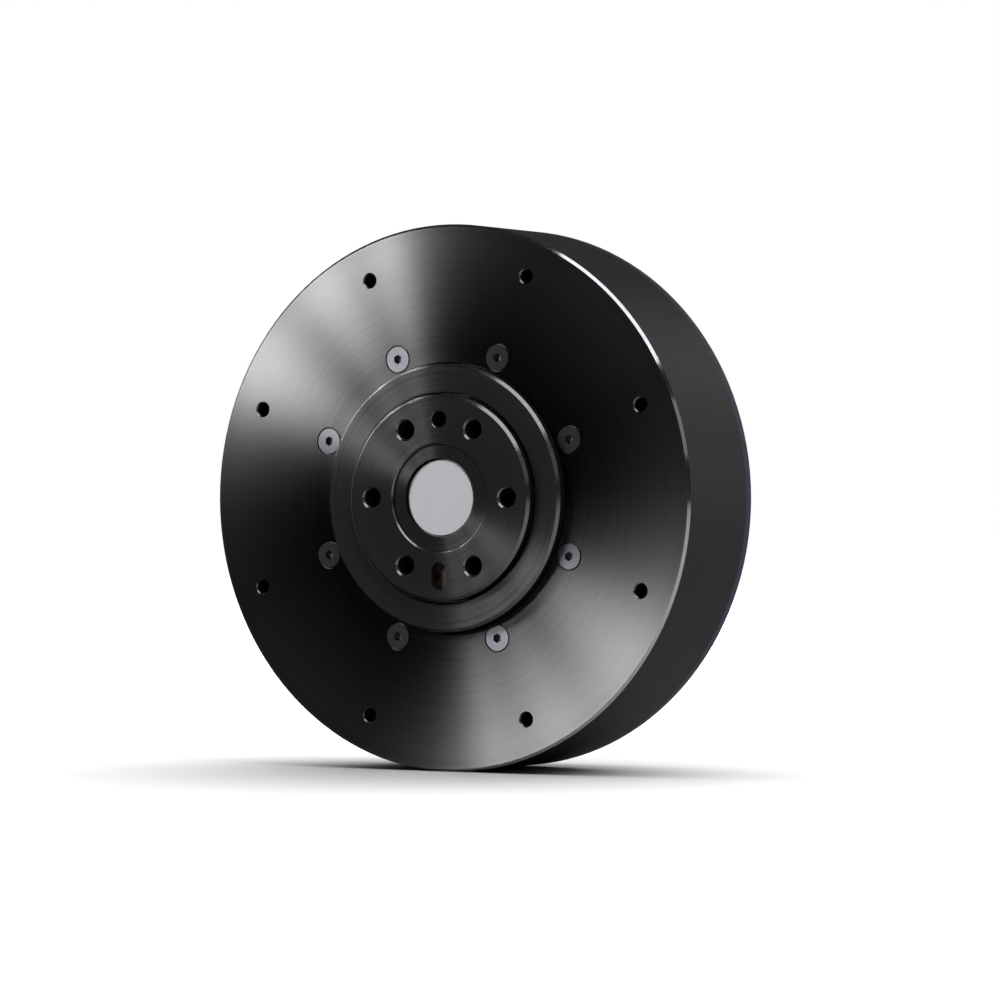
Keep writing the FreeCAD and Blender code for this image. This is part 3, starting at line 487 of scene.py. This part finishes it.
class ACTUATOR_OT_casing(bpy.types.Operator):
    """Dress the casing: turned face, blasted wall and bright cut edges"""
    bl_idname = "actuator.casing"
    bl_label = "Dress the casing"

    def execute(self, context):
        dressed("front_housing", "casing_shell", "housing", [
            ("front_face", lambda r, y, n: looks_front(n) and y < CASE_FACE),
            ("rim_aluminium", lambda r, y, n: is_upright(n) and r > WALL_RADIUS and y > RIM_START),
            ("case_aluminium", lambda r, y, n: is_upright(n) and r > WALL_RADIUS),
            ("cut_edge", lambda r, y, n: slopes_front(n) and r > CASE_EDGE_RADIUS),
            ("soft_edge", lambda r, y, n: slopes_front(n) and r > MOUTH_RADIUS),
            ("bore", anywhere)], cut_at=RIM_START)
        dressed("gearbox_screws", "gearbox_screw_set", "housing", [
            ("screw_face", lambda r, y, n: looks_front(n) and y < SCREW_FACE),
            ("dark_screw_steel", anywhere)])
        dressed("rear_cover", "rear_shell", "housing", [
            ("rim_aluminium", lambda r, y, n: r > COVER_RIM_RADIUS and abs(n.y) < FLAT),
            ("back_turned", lambda r, y, n: looks_back(n) and REAR_FACE[0] < y < REAR_FACE[1]),
            ("case_aluminium", anywhere)])
        lid = dressed("electronics_cover", "electronics_lid", "housing", [
            ("back_turned", lambda r, y, n: looks_back(n) and y > LID_FACE),
            ("cut_edge", lambda r, y, n: is_sloped(n) and n.y > 0),
            ("case_aluminium", anywhere)])
        groove(lid, COVER_GROOVES)
        dressed("bearing_housing", "bearing_ring", "housing", [
            ("face_aluminium", lambda r, y, n: looks_front(n) and y < RING_FACE),
            ("soft_edge", lambda r, y, n: is_sloped(n) and y < RING_EDGE),
            ("bore", anywhere)])
        return {"FINISHED"}


# ---- Output hub ----
# all in millimetres
HUB_FACE = 2.0  # behind the hub's face and its recess
HUB_FACE_RADIUS = 18.4  # outside the hub's flat face
HUB_EDGE = 1.0  # behind the hub's chamfers
COLLAR_INNER = 7.06
COLLAR_OUTER = 9.62
COLLAR_FRONT = 0.4
COLLAR_BACK = 1.79
COLLAR_INNER_CHAMFER = 0.08
COLLAR_OUTER_CHAMFER = 0.03
COLLAR_STEPS = 180
SLOT_CIRCLE = 14.0  # from the shaft axis to the middle of the slot
WEB_BACK = 1.7
WEB_THICKNESS = 0.3
WEB_HALF_LENGTH = 2.44755  # just short of the slot's end
WEB_HALF_WIDTH = 1.45
WEB_STRAIGHT = 1.0  # half the length of its straight sides, before the round ends
WEB_TIP = 0.02  # least square of the half width, so the ends don't close
WAIST_DEPTH = 0.8
WAIST_REACH = 0.55
WEB_ROWS = 40


class ACTUATOR_OT_hub(bpy.types.Operator):
    """Dress the output hub: turned face and dark cut edges"""
    bl_idname = "actuator.hub"
    bl_label = "Dress the output hub"

    def execute(self, context):
        dressed("output_hub", "hub_flange", "output", [
            ("hub_turned", lambda r, y, n: looks_front(n) and y < HUB_FACE and r < HUB_FACE_RADIUS),
            ("soft_edge", lambda r, y, n: is_sloped(n) and y < HUB_EDGE),
            ("bore", anywhere)])
        dressed("centre_cap", "hub_cap", "output", [
            ("cap_metal", lambda r, y, n: looks_front(n)),
            ("cap_edge", lambda r, y, n: is_sloped(n)),
            ("dark_screw_steel", anywhere)])
        self.make_collar()
        self.make_slot_web()
        return {"FINISHED"}

    def make_collar(self):
        """A flat turned collar that fills the recess round the cap to just below the hub's face."""
        work = bmesh.new()
        profile = ((COLLAR_INNER, COLLAR_BACK), (COLLAR_INNER, COLLAR_FRONT + COLLAR_INNER_CHAMFER),
                   (COLLAR_INNER + COLLAR_INNER_CHAMFER, COLLAR_FRONT),
                   (COLLAR_OUTER - COLLAR_OUTER_CHAMFER, COLLAR_FRONT),
                   (COLLAR_OUTER, COLLAR_FRONT + COLLAR_OUTER_CHAMFER), (COLLAR_OUTER, COLLAR_BACK))
        turned_ring(work, [(radius * MM, depth * MM) for radius, depth in profile], COLLAR_STEPS)
        self.place(work, "recess_collar", "hub_turned", "output_hub")

    def make_slot_web(self):
        """The waisted web of the carrier that shows down the slot in the hub."""
        work = bmesh.new()
        bmesh.ops.create_grid(work, x_segments=1, y_segments=WEB_ROWS, size=1.0)
        for vert in work.verts:
            side, row = vert.co.x, vert.co.y
            along = WEB_HALF_LENGTH * row
            past = max(0.0, abs(along) - WEB_STRAIGHT)
            full = max(WEB_TIP, WEB_HALF_WIDTH ** 2 - past ** 2) ** 0.5
            half = full - WAIST_DEPTH * exp(-(along / WAIST_REACH) ** 2)
            vert.co = (side * half * MM, WEB_BACK * MM, (along - SLOT_CIRCLE) * MM)
        work.normal_update()
        bmesh.ops.solidify(work, geom=work.faces[:], thickness=-WEB_THICKNESS * MM)
        self.place(work, "slot_web", "web_bronze", "output_hub")

    def place(self, work, name, finish, like):
        """Make a piece of a finished mesh that turns with the hub; like, a node's name, is not used."""
        bmesh.ops.recalc_face_normals(work, faces=work.faces)
        mesh = bpy.data.meshes.new(name)
        work.to_mesh(mesh)
        work.free()
        mesh.shade_smooth()
        mesh.set_sharp_from_angle(angle=SHARP_ANGLE)
        mesh.materials.append(FINISHES[finish])
        made = add_object(name, mesh)
        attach(made, "output")


# ---- Studio ----
CAMERA_PLACE = (0.4135, -0.6934, -0.0015)
CAMERA_TURN = (radians(90.08), 0.0, radians(30.03))
SENSOR_WIDTH = 36.0  # in millimetres
LEVEL = (1.0, 0.0, 0.0)
# a lamp's direction from the hub's face, the way of its width, its width and height in metres
OVERHEAD = ((0.35, -0.36, 0.87), (-0.842, 0.276, 0.462), 0.80, 0.20)
FRONT_RIGHT = ((0.8, -0.49, 0.35), (0.49, 0.8, 0.0), 0.30, 0.30)
SOFTBOXES = {  # the same, with the power in watts
    "high_left_softbox": ((-0.65, -0.49, 0.58), LEVEL, 0.08, 0.24, 5.2),
    "upper_left_softbox": ((-0.79, -0.43, 0.44), LEVEL, 0.12, 0.12, 6.4),
    "left_softbox": ((-0.65, -0.68, 0.34), LEVEL, 0.15, 0.12, 1.8),
    "far_left_softbox": ((-0.87, -0.42, 0.28), LEVEL, 0.12, 0.20, 4.6),
    "low_left_softbox": ((-0.78, -0.60, 0.17), LEVEL, 0.20, 0.06, 2.7),
    "overhead_softbox": (*OVERHEAD, 0.95),
    "front_right_softbox": (*FRONT_RIGHT, 0.06),
    "right_softbox": ((0.62, 0.78, 0.08), LEVEL, 0.50, 0.16, 0.6),
    "top_rear_softbox": ((0.1, 0.5, 0.86), LEVEL, 0.60, 0.40, 1.4),
    "left_rear_softbox": ((-0.62, 0.78, 0.08), LEVEL, 0.30, 0.14, 4.5),
    "rear_softbox": ((0.35, 0.84, 0.42), LEVEL, 0.60, 0.35, 0.75),
}
FLOOR_SOFTBOX = ((0.0, 0.35, 1.0), LEVEL, 2.4, 2.0, 29.0)  # lights the floor alone, for a soft shadow
HUB_SOFTBOXES = {  # light the ring and the hub alone, for a gleam on their dark edges
    "hub_upper_softbox": (*OVERHEAD, 3.3),
    "hub_right_softbox": (*FRONT_RIGHT, 0.35),
}
HUB_LIT = ("bearing_ring", "hub_flange", "recess_collar")
FLOOR_HALF_SIZE = 6.0
FLOOR_WHITE = (0.93, 0.93, 0.93, 1.0)
FLOOR_TURN = 0.03  # painted reflection: metal and bounce light see the floor painted dim at the left of the shaft and pale at its right
FLOOR_DIM, FLOOR_PALE = 0.05, 0.42
SHADOW_NEAR, SHADOW_FAR = 0.055, 0.22  # the floor goes from its shadow to pure white between these
ROOM_BRIGHTEST = 0.4
ROOM_FADES = (("X", -0.15, 0.2), ("Y", 0.25, 0.45), ("Z", 0.05, 0.3), ("Z", 0.65, 0.5))  # from dark to bright


def add_lamp(name, place, along, width, height, power):
    """A soft rectangular lamp that looks at the hub, its width along a direction; it isn't seen itself."""
    data = bpy.data.lights.new(name, "AREA")
    data.shape = "RECTANGLE"
    data.size = width
    data.size_y = height
    data.energy = power
    lamp = add_object(name, data)
    back = Vector(place).normalized()
    side = (Vector(along) - Vector(along).dot(back) * back).normalized()
    turn = Matrix((side, back.cross(side), back)).transposed()
    lamp.matrix_world = Matrix.Translation(place) @ turn.to_4x4()
    lamp.visible_camera = False
    return lamp


def link_light(lamp, pieces, state):
    """Let a lamp light these pieces alone, or everything but them."""
    lit = bpy.data.collections.new(lamp.name + "_pieces")
    lamp.light_linking.receiver_collection = lit
    for place, piece in enumerate(pieces):
        lit.objects.link(piece)
        lit.collection_objects[place].light_linking.link_state = state


class ACTUATOR_OT_studio(bpy.types.Operator):
    """Set up the camera, the floor, the lamps and the light from all round"""
    bl_idname = "actuator.studio"
    bl_label = "Set up the studio"

    def execute(self, context):
        settings = context.scene.actuator_studio
        scene = context.scene
        scene.view_settings.view_transform = "Standard"
        self.make_camera(scene, settings.lens)
        floor = self.make_floor()
        round_hub = [bpy.data.objects[name] for name in HUB_LIT]
        lamps = [(name, facts, [floor], "EXCLUDE") for name, facts in SOFTBOXES.items()]
        lamps.append(("floor_softbox", FLOOR_SOFTBOX, [floor], "INCLUDE"))
        lamps += [(name, facts, round_hub, "INCLUDE") for name, facts in HUB_SOFTBOXES.items()]
        for name, (direction, along, width, height, power), pieces, state in lamps:
            place = Vector(direction).normalized() * settings.lamp_distance
            lamp = add_lamp(name, place, along, width, height, power * settings.lamp_power)
            link_light(lamp, pieces, state)
        self.make_room(scene, settings.room_level)
        return {"FINISHED"}

    def make_camera(self, scene, lens):
        data = bpy.data.cameras.new("camera")
        data.lens = lens
        data.sensor_width = SENSOR_WIDTH
        camera = add_object("camera", data)
        camera.location = CAMERA_PLACE
        camera.rotation_euler = CAMERA_TURN
        scene.camera = camera

    def make_floor(self):
        """A matt white floor that the camera sees fade to pure white away from the shadow; in reflections its
        colour is painted dim at the left and pale at the right.
        """
        mesh = bpy.data.meshes.new("floor")
        work = bmesh.new()
        bmesh.ops.create_grid(work, x_segments=1, y_segments=1, size=FLOOR_HALF_SIZE)
        bmesh.ops.translate(work, vec=(0, 0, CAD_BOX[0][2]), verts=work.verts)
        work.to_mesh(mesh)
        work.free()
        floor = add_object("floor", mesh)
        white = Finish("floor_white", FLOOR_WHITE[:3], 0.9, Specular_IOR_Level=0.0, Emission_Color=WHITE)
        seen = white.camera_ray()
        # painted reflection: rays other than the camera's see the floor painted dim left of the shaft and
        # pale right of it
        painted_mirror_tone = white.spread(white.axes(white.place)["X"], -FLOOR_TURN, FLOOR_TURN, FLOOR_DIM, FLOOR_PALE)
        white.set(white.shader, "Base Color", white.mix("RGBA", seen, painted_mirror_tone, FLOOR_WHITE))
        fade = white.spread(white.length(white.place), SHADOW_NEAR, SHADOW_FAR)
        white.set(white.shader, "Emission Strength", white.maths("MULTIPLY", seen, fade))
        mesh.materials.append(white.material)
        return floor

    def make_room(self, scene, level):
        """A dim room, brighter at middle height behind and to the right; the camera itself sees it white."""
        scene.world = bpy.data.worlds.new("room")
        scene.world.use_nodes = True
        room = Shading(scene.world.node_tree)
        axes = room.axes(room.add("ShaderNodeTexCoord").outputs["Generated"])
        behind, *others = [room.spread(axes[axis], low, high) for axis, low, high in ROOM_FADES]
        for part in others:
            behind = room.maths("MULTIPLY", behind, part)
        glow = room.spread(behind, 0.0, 1.0, level, ROOM_BRIGHTEST)
        background = room.tree.nodes["Background"]
        room.set(background, "Strength", room.mix("FLOAT", room.camera_ray(), glow, 1.0))
        room.set(background, "Color", WHITE)


# ---- Panel, registration and run ----
class ACTUATOR_PT_panel(bpy.types.Panel):
    """The steps that dress the actuator, in order"""
    bl_label = "Actuator"
    bl_idname = "ACTUATOR_PT_panel"
    bl_space_type = "VIEW_3D"
    bl_region_type = "UI"
    bl_category = "Actuator"

    def draw(self, context):
        for settings in (context.scene.actuator_finish, context.scene.actuator_studio):
            for name in settings.__annotations__:
                self.layout.prop(settings, name)
        for step in STEPS:
            self.layout.operator(step.bl_idname)


STEPS = (ACTUATOR_OT_finishes, ACTUATOR_OT_casing, ACTUATOR_OT_hub, ACTUATOR_OT_studio)
CLASSES = (FinishSettings, StudioSettings, *STEPS, ACTUATOR_PT_panel)


def register():
    for cls in CLASSES:
        bpy.utils.register_class(cls)
    bpy.types.Scene.actuator_finish = bpy.props.PointerProperty(type=FinishSettings)
    bpy.types.Scene.actuator_studio = bpy.props.PointerProperty(type=StudioSettings)


def unregister():
    del bpy.types.Scene.actuator_studio
    del bpy.types.Scene.actuator_finish
    for cls in reversed(CLASSES):
        bpy.utils.unregister_class(cls)


def main():
    register()
    bpy.ops.actuator.finishes()
    bpy.ops.actuator.casing()
    bpy.ops.actuator.hub()
    bpy.ops.actuator.studio()


if __name__ == "__main__":
    main()
